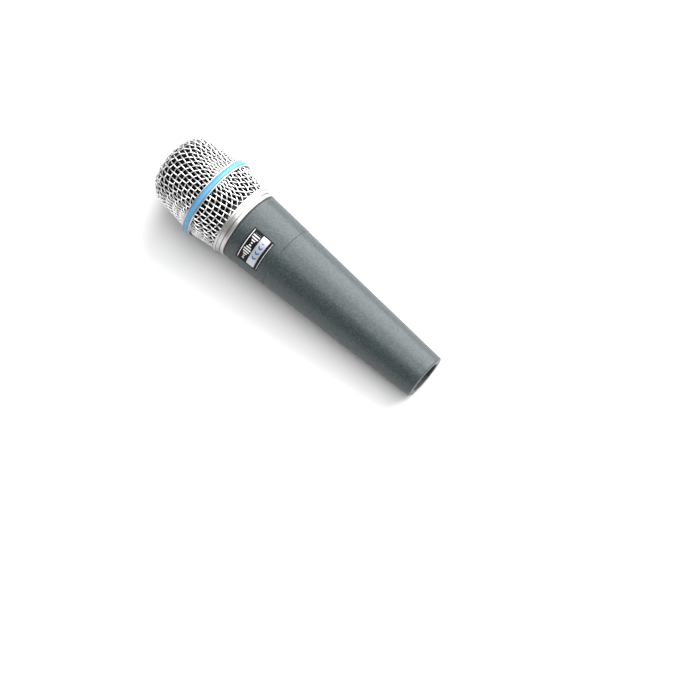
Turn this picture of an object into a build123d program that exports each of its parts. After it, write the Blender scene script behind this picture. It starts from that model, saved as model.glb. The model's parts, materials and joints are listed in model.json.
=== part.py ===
"""Dynamic vocal microphone, lying on a table on its grille band and its tail edge.

The row frame has +Z up and its origin under the middle of the microphone, on the table.
The grille points along -X with its nose a little raised, and the tail points along +X.
Most pieces are turned about the microphone's own axis. They are drawn in stations, the
distance in millimetres from the tail's end face towards the grille, and in radii.
"""
from build123d import *
from math import asin, atan, cos, degrees, radians, sin
import os

os.makedirs("parts", exist_ok=True)

# ---------------------------------------------------------------- driving dimensions
LENGTH = 160.0              # tail face to the nose of the grille
BAND_RADIUS = 22.0          # the coloured band is the widest place
TAIL_RADIUS = 11.4
TAIL_CHAMFER = 0.4
NOSE_LENGTH = 29.5          # from the band to the nose
SHOULDER_RADIUS = 17.8      # front end of the handle

BAND_STATION = LENGTH - NOSE_LENGTH
SHOULDER = BAND_STATION - 21.2
SEAM = BAND_STATION - 44.3
TILT = atan((BAND_RADIUS - TAIL_RADIUS) / (BAND_STATION - TAIL_CHAMFER))

GAP = 0.3                   # between curved faces of bodies that move past each other
FIT = 0.05                  # radial clearance of pieces that are pushed together
SLIVER = 0.02               # clearance of pieces that are glued or clamped face to face

MESH_THICKNESS = 1.5        # two crossing wires
MESH_FRONT_RADIUS = 20.8    # either side of the band
MESH_SHOULDER_RADIUS = 18.85
MESH_SHOULDER = BAND_STATION + 16.2
MESH_REAR_RADIUS = 18.6
MESH_REAR = SHOULDER + 4.9
DOME_POWER = 2.74           # squareness of the grille's dome
FOAM_THICKNESS = 2.2
FOAM_DEPTH = MESH_THICKNESS + 0.2
REAR_FOAM_THICKNESS = 1.2

SOCKET_RADIUS = 8.1
SOCKET_DEPTH = 15.0
SOCKET_MOUTH = 2.6          # plain wall in front of the latch groove
PIN_RADIUS = 1.2
PIN_SHANK_RADIUS = 0.95     # where the contact sits in its insert
PIN_ROUNDING = 0.7
PIN_CIRCLE = 4.38
PIN_TIP = 3.2
INSERT_BACK = 22.0

BADGE_FRONT = SHOULDER - 6.0
BADGE_LENGTH = 12.5
BADGE_ARC = 61.0            # degrees round the handle
BADGE_AZIMUTH = 41.5        # degrees from the top towards -Y
BADGE_DEPTH = 0.55

THREAD_PITCH = 1.0
THREAD_DEPTH = 0.35
SPIGOT_RADIUS = 16.4
SPIGOT_LENGTH = 3.9
FRONT_BORE = 14.6

CAPSULE_RADIUS = 13.9
CAPSULE_BACK = SHOULDER + 12.7
CAPSULE_FRONT = CAPSULE_BACK + 19.0
CHAMBER_RADIUS = 12.5
COIL_RADIUS = 9.2
YOKE_BORE = 9.9
POLE_RADIUS = 8.6

# ---------------------------------------------------------------- axis and planes


def dome(radius, front):
    """Radii and stations of a squarish dome from its shoulder to its nose."""
    height = front - MESH_SHOULDER
    points = []
    for step in range(9):
        angle = radians(90) * step / 8
        across = radius * max(cos(angle), 0.0) ** (2 / DOME_POWER)
        along = height * sin(angle) ** (2 / DOME_POWER)
        points.append((across, MESH_SHOULDER + along))
    points[-1] = (0.0, front)
    return points


NOSE_REACH = max(t * cos(TILT) + r * sin(TILT) for r, t in dome(MESH_SHOULDER_RADIUS, LENGTH))
TAIL_REACH = (TAIL_RADIUS - TAIL_CHAMFER) * sin(TILT)
TAIL_HEIGHT = TAIL_RADIUS * cos(TILT) - TAIL_CHAMFER * sin(TILT)
TAIL = Vector((NOSE_REACH - TAIL_REACH) / 2, 0, TAIL_HEIGHT)
FORWARD = Vector(-cos(TILT), 0, sin(TILT))
UP = Vector(sin(TILT), 0, cos(TILT))
SIDE = Vector(0, -1, 0)
MIC_AXIS = Axis(TAIL, FORWARD)


def outward(azimuth):
    """The direction away from the axis, at degrees from the top towards -Y."""
    return UP * cos(radians(azimuth)) + SIDE * sin(radians(azimuth))


def profile(azimuth=0.0):
    """The half plane where a turned piece is drawn: x is the radius, y the station."""
    return Plane(origin=TAIL, x_dir=outward(azimuth), z_dir=outward(azimuth).cross(FORWARD))


def across(t, azimuth, height):
    """The plane facing away from the axis at a station, an azimuth and a height."""
    away = outward(azimuth)
    return Plane(origin=TAIL + FORWARD * t + away * height, x_dir=FORWARD, z_dir=away)


def station(t):
    """The plane across the axis: x towards -Y, y up, z towards the grille."""
    return Plane(origin=TAIL + FORWARD * t, x_dir=SIDE, z_dir=FORWARD)


def turn(*outline, azimuth=0.0, arc=360.0, mode=Mode.ADD):
    """Turn a closed outline of (radius, station) points about the axis."""
    with BuildSketch(profile(azimuth)) as section:
        with BuildLine():
            Polyline(*outline, close=True)
        make_face()
    revolve(section.sketch, axis=MIC_AXIS, revolution_arc=arc, mode=mode)


def tube(inner, outer, back, front, mode=Mode.ADD):
    """A plain tube about the axis, or a disc when its inner radius is zero."""
    turn((inner, back), (outer, back), (outer, front), (inner, front), mode=mode)


def handle_radius(t):
    """Outside radius of the tapered handle."""
    return TAIL_RADIUS + (SHOULDER_RADIUS - TAIL_RADIUS) * t / SHOULDER


def mesh_radius(t):
    """Outside radius of the two wire baskets, up to the dome's shoulder."""
    if t < BAND_STATION:
        return MESH_REAR_RADIUS + (MESH_FRONT_RADIUS - MESH_REAR_RADIUS) * (t - MESH_REAR) / (
            BAND_STATION - MESH_REAR
        )
    drop = (MESH_FRONT_RADIUS - MESH_SHOULDER_RADIUS) / (MESH_SHOULDER - BAND_STATION)
    return MESH_FRONT_RADIUS - drop * (t - BAND_STATION)


def cut_thread(radius, depth, first):
    """Three thread grooves in a round wall; the depth is negative in an outside wall."""
    proud = -0.1 if depth > 0 else 0.1
    for turn_index in range(3):
        root = first + turn_index * THREAD_PITCH
        turn(
            (radius + proud, root - 0.1),
            (radius + depth, root + 0.3),
            (radius + proud, root + 0.7),
            mode=Mode.SUBTRACT,
        )


def lay_wire(points, radii, thickness, mode=Mode.ADD):
    """A round wire of straight runs joined by tangent arcs."""
    with BuildLine() as path:
        FilletPolyline(*points, radius=radii)
    with BuildSketch(Plane(path.line @ 0, z_dir=path.line % 0)) as section:
        Circle(thickness / 2)
    sweep(section.sketch, path=path.line, mode=mode)


def place(t, side, up):
    """A point at a station, by its distances towards -Y and up from the axis."""
    return TAIL + FORWARD * t + SIDE * side + UP * up


def save(piece, name):
    """Name a finished piece and write it to its own file."""
    piece.part.label = name
    export_step(piece.part, f"parts/{name}.step")


# ---------------------------------------------------------------- handle

HANDLE_SPIGOT = 7.5
CAVITY_BACK = 26.0
CAVITY_BACK_RADIUS = 9.8
CAVITY_FRONT_RADIUS = 13.0
SEAM_CHAMFER = 0.15
INSERT_SCREW_STATION = 18.5
SCREW_RADIUS = 1.5

with BuildPart() as rear_handle:
    joint_radius = CAVITY_FRONT_RADIUS + 1.4
    turn(
        (SOCKET_RADIUS + 0.3, 0),
        (TAIL_RADIUS - TAIL_CHAMFER, 0),
        (TAIL_RADIUS, TAIL_CHAMFER),
        (handle_radius(SEAM) - SEAM_CHAMFER, SEAM - FIT),
        (joint_radius, SEAM - FIT),
        (joint_radius, SEAM - HANDLE_SPIGOT),
        (CAVITY_FRONT_RADIUS, SEAM - HANDLE_SPIGOT),
        (CAVITY_BACK_RADIUS, CAVITY_BACK),
        (SOCKET_RADIUS, CAVITY_BACK - 2),
        (SOCKET_RADIUS, 0.3),
    )
    tube(SOCKET_RADIUS - 1, SOCKET_RADIUS + 0.6, SOCKET_MOUTH, SOCKET_MOUTH + 2, mode=Mode.SUBTRACT)
    with BuildSketch(across(INSERT_SCREW_STATION, 180, 0)) as screw_hole:
        Circle(SCREW_RADIUS + FIT)
    extrude(screw_hole.sketch, amount=2 * TAIL_RADIUS, mode=Mode.SUBTRACT)
save(rear_handle, "rear_handle")

with BuildPart() as front_housing:
    spigot_outer = CAVITY_FRONT_RADIUS + 1.4 - FIT
    spigot_top = SHOULDER + SPIGOT_LENGTH
    turn(
        (CAVITY_FRONT_RADIUS - 0.4, SEAM - HANDLE_SPIGOT + 0.4),
        (spigot_outer, SEAM - HANDLE_SPIGOT + 0.4),
        (spigot_outer, SEAM),
        (handle_radius(SEAM) - SEAM_CHAMFER, SEAM),
        (handle_radius(SEAM + SEAM_CHAMFER), SEAM + SEAM_CHAMFER),
        (SHOULDER_RADIUS - 0.1, SHOULDER - 0.15),
        (SHOULDER_RADIUS - 0.3, SHOULDER),
        (SPIGOT_RADIUS, SHOULDER),
        (SPIGOT_RADIUS, spigot_top - 0.3),
        (SPIGOT_RADIUS - 0.3, spigot_top),
        (FRONT_BORE, spigot_top),
        (FRONT_BORE, SEAM + 5),
        (CAVITY_FRONT_RADIUS - 0.4, SEAM + 3),
    )
    cut_thread(SPIGOT_RADIUS, -THREAD_DEPTH, SHOULDER + 0.8)
    badge_back = BADGE_FRONT - BADGE_LENGTH
    turn(
        (handle_radius(badge_back) - BADGE_DEPTH, badge_back),
        (handle_radius(badge_back) + 1, badge_back),
        (handle_radius(BADGE_FRONT) + 1, BADGE_FRONT),
        (handle_radius(BADGE_FRONT) - BADGE_DEPTH, BADGE_FRONT),
        azimuth=BADGE_AZIMUTH + BADGE_ARC / 2,
        arc=BADGE_ARC,
        mode=Mode.SUBTRACT,
    )
save(front_housing, "front_housing")

with BuildPart() as nameplate:
    border = GAP
    badge_low = BADGE_FRONT - BADGE_LENGTH + border
    badge_high = BADGE_FRONT - border
    badge_arc = BADGE_ARC - degrees(2 * border / SHOULDER_RADIUS)
    badge_sink = 0.1
    turn(
        (handle_radius(badge_low) - BADGE_DEPTH, badge_low),
        (handle_radius(badge_low) - badge_sink, badge_low),
        (handle_radius(badge_high) - badge_sink, badge_high),
        (handle_radius(badge_high) - BADGE_DEPTH, badge_high),
        azimuth=BADGE_AZIMUTH + badge_arc / 2,
        arc=badge_arc,
    )
save(nameplate, "nameplate")

# ---------------------------------------------------------------- connector in the tail

PIN_ANGLES = (0.0, 180.0, 270.0)
PIN_SHOULDER = INSERT_BACK + 0.6
SOLDER_END = INSERT_BACK + 3.6
DIMPLE_FLOOR = 6.6          # from the axis
SCREW_LENGTH = 5.2
TONGUE_WIDTH = 2.4

with BuildPart() as connector_insert:
    tube(0, SOCKET_RADIUS - FIT, SOCKET_DEPTH, INSERT_BACK)
    with BuildSketch(station(SOCKET_DEPTH)) as insert_holes:
        with PolarLocations(PIN_CIRCLE, 1):
            Circle(PIN_SHANK_RADIUS + SLIVER)
        with PolarLocations(PIN_CIRCLE, 2, start_angle=PIN_ANGLES[1], angular_range=180):
            Circle(PIN_SHANK_RADIUS + SLIVER)
        with Locations((0, SOCKET_RADIUS - 1.1)):
            Rectangle(TONGUE_WIDTH, 1.2)
    extrude(insert_holes.sketch, amount=INSERT_BACK - SOCKET_DEPTH, mode=Mode.SUBTRACT)
    with BuildSketch(across(INSERT_SCREW_STATION, 180, DIMPLE_FLOOR)) as dimple:
        Circle(SCREW_RADIUS + FIT)
    extrude(dimple.sketch, amount=SOCKET_RADIUS, mode=Mode.SUBTRACT)
save(connector_insert, "connector_insert")

for index, angle in enumerate(PIN_ANGLES, start=1):
    side = PIN_CIRCLE * cos(radians(angle))
    up = PIN_CIRCLE * sin(radians(angle))
    with BuildPart() as contact_pin:
        with BuildSketch(Plane(place(PIN_TIP, side, up), z_dir=FORWARD)) as pin_section:
            Circle(PIN_RADIUS)
        extrude(pin_section.sketch, amount=SOCKET_DEPTH - PIN_TIP)
        fillet(contact_pin.edges().sort_by(MIC_AXIS)[0], radius=PIN_ROUNDING)
        with BuildSketch(Plane(place(SOCKET_DEPTH, side, up), z_dir=FORWARD)) as shank_section:
            Circle(PIN_SHANK_RADIUS)
        extrude(shank_section.sketch, amount=PIN_SHOULDER - SOCKET_DEPTH)
        with BuildSketch(Plane(place(PIN_SHOULDER, side, up), z_dir=FORWARD)) as cup_section:
            Circle(PIN_SHANK_RADIUS - 0.1)
            Circle(PIN_SHANK_RADIUS - 0.45, mode=Mode.SUBTRACT)
        extrude(cup_section.sketch, amount=SOLDER_END - PIN_SHOULDER)
    save(contact_pin, f"contact_pin_{index}")

with BuildPart() as insert_screw:
    with BuildSketch(across(INSERT_SCREW_STATION, 180, DIMPLE_FLOOR + 0.1)) as shank:
        Circle(SCREW_RADIUS)
    extrude(shank.sketch, amount=SCREW_LENGTH)
    with BuildSketch(across(INSERT_SCREW_STATION, 180, DIMPLE_FLOOR + 0.1 + SCREW_LENGTH)) as key_socket:
        RegularPolygon(0.85, 6)
    extrude(key_socket.sketch, amount=-1.6, mode=Mode.SUBTRACT)
save(insert_screw, "insert_screw")

with BuildPart() as ground_tag:
    tag_back = INSERT_BACK + SLIVER
    tube(PIN_CIRCLE + PIN_RADIUS + 0.2, SOCKET_RADIUS - 0.2, tag_back, tag_back + 0.4)
    with BuildSketch(station(tag_back)) as tongue:
        with Locations((0, SOCKET_RADIUS - 1.3)):
            Rectangle(TONGUE_WIDTH, 1.8)
    extrude(tongue.sketch, amount=3.0)
save(ground_tag, "ground_tag")

# ---------------------------------------------------------------- transformer

CORE_BACK = SEAM - 24.0
CORE_WIDTH = 16.0
CORE_DEPTH = 7.0
CORE_LENGTH = 14.0
CENTRE_LEG = 4.4
WINDOW_WIDTH = 3.2
WINDOW_LENGTH = 8.4
BOBBIN_WALL = 0.6
WINDING_WIDTH = CENTRE_LEG + 2 * WINDOW_WIDTH - 0.6
WINDING_DEPTH = 11.4
BOOT_RADIUS = 11.3

with BuildPart() as transformer_core:
    with BuildSketch(Plane(place(CORE_BACK, 0, 0), x_dir=SIDE, z_dir=UP)) as lamination:
        Rectangle(CORE_WIDTH, CORE_LENGTH, align=(Align.CENTER, Align.MAX))
        with GridLocations(CENTRE_LEG + WINDOW_WIDTH, 0, 2, 1):
            with Locations((0, -CORE_LENGTH / 2)):
                Rectangle(WINDOW_WIDTH, WINDOW_LENGTH, mode=Mode.SUBTRACT)
    extrude(lamination.sketch, amount=CORE_DEPTH / 2, both=True)
save(transformer_core, "transformer_core")


def winding_block(width, depth, back, front, mode=Mode.ADD):
    """A rectangular block about the axis, between two stations."""
    with BuildSketch(station(back)) as block:
        Rectangle(width, depth)
    extrude(block.sketch, amount=front - back, mode=mode)


window_back = CORE_BACK + (CORE_LENGTH - WINDOW_LENGTH) / 2 + FIT
window_front = CORE_BACK + (CORE_LENGTH + WINDOW_LENGTH) / 2 - FIT
leg_width = CENTRE_LEG + 2 * FIT
leg_depth = CORE_DEPTH + 2 * FIT

with BuildPart() as transformer_bobbin:
    winding_block(leg_width + 2 * BOBBIN_WALL, leg_depth + 2 * BOBBIN_WALL, window_back, window_front)
    winding_block(WINDING_WIDTH + 0.3, WINDING_DEPTH + 0.4, window_back, window_back + BOBBIN_WALL)
    winding_block(WINDING_WIDTH + 0.3, WINDING_DEPTH + 0.4, window_front - BOBBIN_WALL, window_front)
    winding_block(leg_width, leg_depth, window_back, window_front, mode=Mode.SUBTRACT)
save(transformer_bobbin, "transformer_bobbin")

with BuildPart() as transformer_winding:
    winding_back = window_back + BOBBIN_WALL
    winding_front = window_front - BOBBIN_WALL
    winding_block(WINDING_WIDTH, WINDING_DEPTH, winding_back, winding_front)
    fillet(transformer_winding.edges().filter_by(MIC_AXIS), radius=0.9)
    winding_block(
        leg_width + 2 * BOBBIN_WALL,
        leg_depth + 2 * BOBBIN_WALL,
        winding_back,
        winding_front,
        mode=Mode.SUBTRACT,
    )
save(transformer_winding, "transformer_winding")

with BuildPart() as transformer_boot:
    boot_back = CORE_BACK - 2.0
    tube(0, BOOT_RADIUS, boot_back, CORE_BACK + CORE_LENGTH + 1)
    winding_block(CORE_WIDTH + 0.2, WINDING_DEPTH + 0.6, CORE_BACK - 0.1, SEAM, mode=Mode.SUBTRACT)
    winding_block(9.0, 5.0, boot_back, CORE_BACK, mode=Mode.SUBTRACT)
save(transformer_boot, "transformer_boot")

LEAD_THICKNESS = 1.0

with BuildPart() as output_leads:
    for angle in PIN_ANGLES:
        side = PIN_CIRCLE * cos(radians(angle))
        up = PIN_CIRCLE * sin(radians(angle))
        inner_side = 0.75 * side
        inner_up = 0.4 * up
        lay_wire(
            [
                place(SOLDER_END + 0.05, side, up),
                place(SOLDER_END + 8, side, up),
                place(SOLDER_END + 20, inner_side, inner_up),
                place(CORE_BACK - 0.15, inner_side, inner_up),
            ],
            4.0,
            LEAD_THICKNESS,
        )
save(output_leads, "output_leads")

# ---------------------------------------------------------------- collar and grille

GASKET = 0.5
COLLAR_BACK = SHOULDER + GASKET + FIT
COLLAR_SEAT = MESH_REAR - 0.1
COLLAR_LIP = SHOULDER + 5.8
CLAMP_LENGTH = 3.4

with BuildPart() as collar_gasket:
    tube(SPIGOT_RADIUS + GAP, SHOULDER_RADIUS - 0.15, SHOULDER + 0.03, SHOULDER + GASKET)
save(collar_gasket, "collar_gasket")

with BuildPart() as grille_collar:
    turn(
        (SPIGOT_RADIUS + GAP, COLLAR_BACK),
        (SHOULDER_RADIUS + 0.05, COLLAR_BACK),
        (SHOULDER_RADIUS + 0.35, COLLAR_BACK + 0.3),
        (SHOULDER_RADIUS + 0.5, COLLAR_BACK + 1.6),
        (SHOULDER_RADIUS + 0.3, COLLAR_BACK + 1.85),
        (SHOULDER_RADIUS - 0.05, COLLAR_BACK + 1.85),
        (SHOULDER_RADIUS - 0.05, COLLAR_BACK + 2.2),
        (SHOULDER_RADIUS + 0.25, COLLAR_BACK + 2.3),
        (SHOULDER_RADIUS + 0.85, COLLAR_LIP - 1.45),
        (SHOULDER_RADIUS + 1.4, COLLAR_LIP - 1.25),
        (SHOULDER_RADIUS + 1.5, COLLAR_LIP - 1.0),
        (SHOULDER_RADIUS + 1.5, COLLAR_LIP - 0.15),
        (SHOULDER_RADIUS + 1.35, COLLAR_LIP),
        (mesh_radius(COLLAR_LIP) + 0.1, COLLAR_LIP),
        (mesh_radius(COLLAR_SEAT) + 0.1, COLLAR_SEAT),
        (SPIGOT_RADIUS + GAP, COLLAR_SEAT),
    )
    cut_thread(SPIGOT_RADIUS + GAP, THREAD_DEPTH, COLLAR_BACK + 0.5)
save(grille_collar, "grille_collar")

with BuildPart() as mesh_clamp_ring:
    clamp_outer = MESH_REAR_RADIUS - MESH_THICKNESS - FIT
    tube(clamp_outer - 0.5, clamp_outer, MESH_REAR, MESH_REAR + CLAMP_LENGTH)
save(mesh_clamp_ring, "mesh_clamp_ring")

MESH_GAP = 0.55             # from the band's middle plane to each basket's edge
FOAM_EDGE = 2.6             # from the band's middle plane to each foam's edge

with BuildPart() as rear_mesh:
    rear_edge = BAND_STATION - MESH_GAP
    turn(
        (mesh_radius(MESH_REAR) - MESH_THICKNESS, MESH_REAR),
        (mesh_radius(MESH_REAR), MESH_REAR),
        (mesh_radius(rear_edge), rear_edge),
        (mesh_radius(rear_edge) - MESH_THICKNESS, rear_edge),
    )
save(rear_mesh, "rear_mesh")


def domed_wall(depth, thickness, back):
    """A cup with the grille's domed front, a depth below its outside, open at the back."""
    outer_dome = dome(MESH_SHOULDER_RADIUS - depth, LENGTH - depth)
    inner_dome = dome(MESH_SHOULDER_RADIUS - depth - thickness, LENGTH - depth - thickness)
    slope = (mesh_radius(back) - MESH_SHOULDER_RADIUS) / (MESH_SHOULDER - back)
    with BuildSketch(profile()) as section:
        with BuildLine():
            Line((mesh_radius(back) - depth, back), outer_dome[0])
            Spline(*outer_dome, tangents=[(-slope, 1), (-1, 0)])
            Line(outer_dome[-1], inner_dome[-1])
            Spline(*inner_dome, tangents=[(-slope, 1), (-1, 0)])
            Line(inner_dome[0], (mesh_radius(back) - depth - thickness, back))
            Line(
                (mesh_radius(back) - depth - thickness, back),
                (mesh_radius(back) - depth, back),
            )
        make_face()
    revolve(section.sketch, axis=MIC_AXIS)


with BuildPart() as front_mesh:
    domed_wall(0.0, MESH_THICKNESS, BAND_STATION + MESH_GAP)
save(front_mesh, "front_mesh")

with BuildPart() as front_foam:
    domed_wall(FOAM_DEPTH, FOAM_THICKNESS, BAND_STATION + FOAM_EDGE)
save(front_foam, "front_foam")

with BuildPart() as rear_foam:
    foam_back = MESH_REAR + CLAMP_LENGTH + GAP
    foam_front = BAND_STATION - FOAM_EDGE
    turn(
        (mesh_radius(foam_back) - FOAM_DEPTH - REAR_FOAM_THICKNESS, foam_back),
        (mesh_radius(foam_back) - FOAM_DEPTH, foam_back),
        (mesh_radius(foam_front) - FOAM_DEPTH, foam_front),
        (mesh_radius(foam_front) - FOAM_DEPTH - REAR_FOAM_THICKNESS, foam_front),
    )
save(rear_foam, "rear_foam")

BAND_HALF_WIDTH = 1.45
CHANNEL_RADIUS = BAND_RADIUS - 0.85
LIP_RADIUS = BAND_RADIUS - 0.45
LIP_HALF_WIDTH = 2.05

with BuildPart() as band_carrier:
    web = MESH_GAP - FIT
    lip_inner = MESH_FRONT_RADIUS + 0.03
    inner_ring = MESH_FRONT_RADIUS - MESH_THICKNESS - 0.4
    turn(
        (inner_ring - 0.6, BAND_STATION - 2.2),
        (inner_ring, BAND_STATION - 2.2),
        (inner_ring, BAND_STATION - web),
        (lip_inner, BAND_STATION - web),
        (lip_inner, BAND_STATION - LIP_HALF_WIDTH),
        (LIP_RADIUS - 0.2, BAND_STATION - LIP_HALF_WIDTH),
        (LIP_RADIUS, BAND_STATION - LIP_HALF_WIDTH + 0.2),
        (LIP_RADIUS, BAND_STATION - BAND_HALF_WIDTH),
        (CHANNEL_RADIUS, BAND_STATION - BAND_HALF_WIDTH),
        (CHANNEL_RADIUS, BAND_STATION + BAND_HALF_WIDTH),
        (LIP_RADIUS, BAND_STATION + BAND_HALF_WIDTH),
        (LIP_RADIUS, BAND_STATION + LIP_HALF_WIDTH - 0.2),
        (LIP_RADIUS - 0.2, BAND_STATION + LIP_HALF_WIDTH),
        (lip_inner, BAND_STATION + LIP_HALF_WIDTH),
        (lip_inner, BAND_STATION + web),
        (inner_ring, BAND_STATION + web),
        (inner_ring, BAND_STATION + 2.2),
        (inner_ring - 0.6, BAND_STATION + 2.2),
    )
save(band_carrier, "band_carrier")

with BuildPart() as blue_band:
    rear_side = BAND_STATION - BAND_HALF_WIDTH + SLIVER
    front_side = BAND_STATION + BAND_HALF_WIDTH - SLIVER
    band_floor = CHANNEL_RADIUS + SLIVER
    band_shoulder = BAND_RADIUS - 0.55
    with BuildSketch(profile()) as band_section:
        with BuildLine():
            Polyline(
                (band_shoulder, rear_side),
                (band_floor, rear_side),
                (band_floor, front_side),
                (band_shoulder, front_side),
            )
            ThreePointArc(
                (band_shoulder, front_side),
                (BAND_RADIUS, BAND_STATION),
                (band_shoulder, rear_side),
            )
        make_face()
    revolve(band_section.sketch, axis=MIC_AXIS)
save(blue_band, "blue_band")

# ---------------------------------------------------------------- shock mount

MOUNT_FACE = SHOULDER + SPIGOT_LENGTH
RIM_OUTER = SPIGOT_RADIUS - 0.2
RIM_INNER = FRONT_BORE + 0.2

with BuildPart() as shock_mount:
    turn(
        (CHAMBER_RADIUS + FIT, MOUNT_FACE - 2),
        (CHAMBER_RADIUS + 0.8, MOUNT_FACE - 2),
        (CHAMBER_RADIUS + 0.8, MOUNT_FACE + 0.6),
        (RIM_INNER, MOUNT_FACE + 0.6),
        (RIM_INNER, MOUNT_FACE + 0.02),
        (RIM_OUTER, MOUNT_FACE + 0.02),
        (RIM_OUTER, MOUNT_FACE + 1.4),
        (CHAMBER_RADIUS + 0.8, MOUNT_FACE + 1.4),
        (CHAMBER_RADIUS + 0.8, MOUNT_FACE + 3),
        (CHAMBER_RADIUS + FIT, MOUNT_FACE + 3),
    )
save(shock_mount, "shock_mount")

with BuildPart() as mount_ring:
    tube(RIM_INNER + 0.2, RIM_OUTER, MOUNT_FACE + 1.42, MOUNT_FACE + 2.3)
save(mount_ring, "mount_ring")

# ---------------------------------------------------------------- capsule

CHAMBER_BACK = SHOULDER - 1.2
SHELL_WALL = 1.0
VENT_RADIUS = 1.1
VENT_CIRCLE = 9.6
VENT_COUNT = 8
SIDE_PORT_RADIUS = 0.9
YOKE_RADIUS = CAPSULE_RADIUS - SHELL_WALL - 0.2
YOKE_BACK = CAPSULE_BACK + 3.6
YOKE_FRONT = YOKE_BACK + 12.0
MAGNET_FRONT = YOKE_FRONT - 4.2
DIAPHRAGM_STATION = YOKE_FRONT + 1.2

with BuildPart() as rear_chamber:
    turn(
        (0, CHAMBER_BACK),
        (CHAMBER_RADIUS - 0.6, CHAMBER_BACK),
        (CHAMBER_RADIUS, CHAMBER_BACK + 0.6),
        (CHAMBER_RADIUS, CAPSULE_BACK - 0.02),
        (CHAMBER_RADIUS - SHELL_WALL, CAPSULE_BACK - 0.02),
        (CHAMBER_RADIUS - SHELL_WALL, CHAMBER_BACK + SHELL_WALL),
        (0, CHAMBER_BACK + SHELL_WALL),
    )
save(rear_chamber, "rear_chamber")

with BuildPart() as capsule_can:
    turn(
        (0, CAPSULE_BACK),
        (CAPSULE_RADIUS - 0.3, CAPSULE_BACK),
        (CAPSULE_RADIUS, CAPSULE_BACK + 0.3),
        (CAPSULE_RADIUS, CAPSULE_FRONT),
        (CAPSULE_RADIUS - SHELL_WALL, CAPSULE_FRONT),
        (CAPSULE_RADIUS - SHELL_WALL, CAPSULE_BACK + 1.5),
        (0, CAPSULE_BACK + 1.5),
    )
    with BuildSketch(station(CAPSULE_BACK - 0.5)) as vents:
        with PolarLocations(VENT_CIRCLE, VENT_COUNT):
            Circle(VENT_RADIUS)
    extrude(vents.sketch, amount=3, mode=Mode.SUBTRACT)
    for port in range(VENT_COUNT):
        port_azimuth = 360 * (port + 0.5) / VENT_COUNT
        with BuildSketch(across(CAPSULE_BACK + 2.6, port_azimuth, 0)) as side_port:
            Circle(SIDE_PORT_RADIUS)
        extrude(side_port.sketch, amount=CAPSULE_RADIUS + 1, mode=Mode.SUBTRACT)
save(capsule_can, "capsule_can")

with BuildPart() as vent_felt:
    tube(6.0, YOKE_RADIUS, CAPSULE_BACK + 1.55, YOKE_BACK - 0.1)
save(vent_felt, "vent_felt")

with BuildPart() as magnet_cup:
    turn(
        (0, YOKE_BACK),
        (YOKE_RADIUS, YOKE_BACK),
        (YOKE_RADIUS, YOKE_FRONT),
        (YOKE_BORE, YOKE_FRONT),
        (YOKE_BORE, YOKE_BACK + 1.6),
        (0, YOKE_BACK + 1.6),
    )
save(magnet_cup, "magnet_cup")

with BuildPart() as magnet:
    tube(0, POLE_RADIUS - 0.4, YOKE_BACK + 1.62, MAGNET_FRONT)
save(magnet, "magnet")

with BuildPart() as pole_piece:
    tube(0, POLE_RADIUS, MAGNET_FRONT + 0.02, YOKE_FRONT)
save(pole_piece, "pole_piece")

with BuildPart() as resonator_cap:
    cap_outer = CAPSULE_RADIUS + 0.6
    turn(
        (CAPSULE_RADIUS + FIT, CAPSULE_FRONT - 3),
        (cap_outer, CAPSULE_FRONT - 3),
        (cap_outer, CAPSULE_FRONT + 2),
        (cap_outer - 1, CAPSULE_FRONT + 3.2),
        (3.0, CAPSULE_FRONT + 4.0),
        (0, CAPSULE_FRONT + 4.0),
        (0, CAPSULE_FRONT + 3.0),
        (3.0, CAPSULE_FRONT + 3.0),
        (cap_outer - 1.8, CAPSULE_FRONT + 2.2),
        (cap_outer - 1.8, CAPSULE_FRONT + 0.05),
        (CAPSULE_RADIUS + FIT, CAPSULE_FRONT + 0.05),
    )
    with BuildSketch(station(CAPSULE_FRONT)) as cap_ports:
        with PolarLocations(8.0, 6):
            Circle(2.2)
        Circle(2.0)
    extrude(cap_ports.sketch, amount=6, mode=Mode.SUBTRACT)
save(resonator_cap, "resonator_cap")

with BuildPart() as resonator_screen:
    tube(0, CAPSULE_RADIUS - 1.4, CAPSULE_FRONT + 1.6, CAPSULE_FRONT + 1.85)
save(resonator_screen, "resonator_screen")

with BuildPart() as hum_coil:
    coil_back = MOUNT_FACE + 4.2
    tube(CHAMBER_RADIUS + FIT, CHAMBER_RADIUS + 1.1, coil_back, coil_back + 3.4)
save(hum_coil, "hum_coil")

BOARD_BACK = CHAMBER_BACK - 1.7

with BuildPart() as terminal_board:
    tube(0, 9.0, BOARD_BACK, CHAMBER_BACK - 0.02)
save(terminal_board, "terminal_board")

with BuildPart() as terminal_tags:
    for side in (-4.0, 4.0):
        with BuildSketch(Plane(place(BOARD_BACK - 0.02, side, 0), x_dir=SIDE, z_dir=-FORWARD)) as tag:
            Rectangle(2.4, 0.5)
        extrude(tag.sketch, amount=3.0)
save(terminal_tags, "terminal_tags")

with BuildPart() as capsule_leads:
    for side in (-4.0, 4.0):
        lay_wire(
            [
                place(CORE_BACK + CORE_LENGTH + 0.1, side, 0),
                place(CORE_BACK + CORE_LENGTH + 8, side, 3.0),
                place(BOARD_BACK - 12, side * 1.3, 3.0),
                place(BOARD_BACK - 3.1, side, 0),
            ],
            3.5,
            LEAD_THICKNESS,
        )
save(capsule_leads, "capsule_leads")

# ---------------------------------------------------------------- diaphragm and voice coil

DIAPHRAGM_RADIUS = 11.9
DIAPHRAGM_SKIN = 0.25

CROWN_RISE = 1.4
CROWN_RADIUS = (COIL_RADIUS**2 + CROWN_RISE**2) / (2 * CROWN_RISE)
CROWN_ANGLE = degrees(asin(COIL_RADIUS / CROWN_RADIUS))

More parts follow.
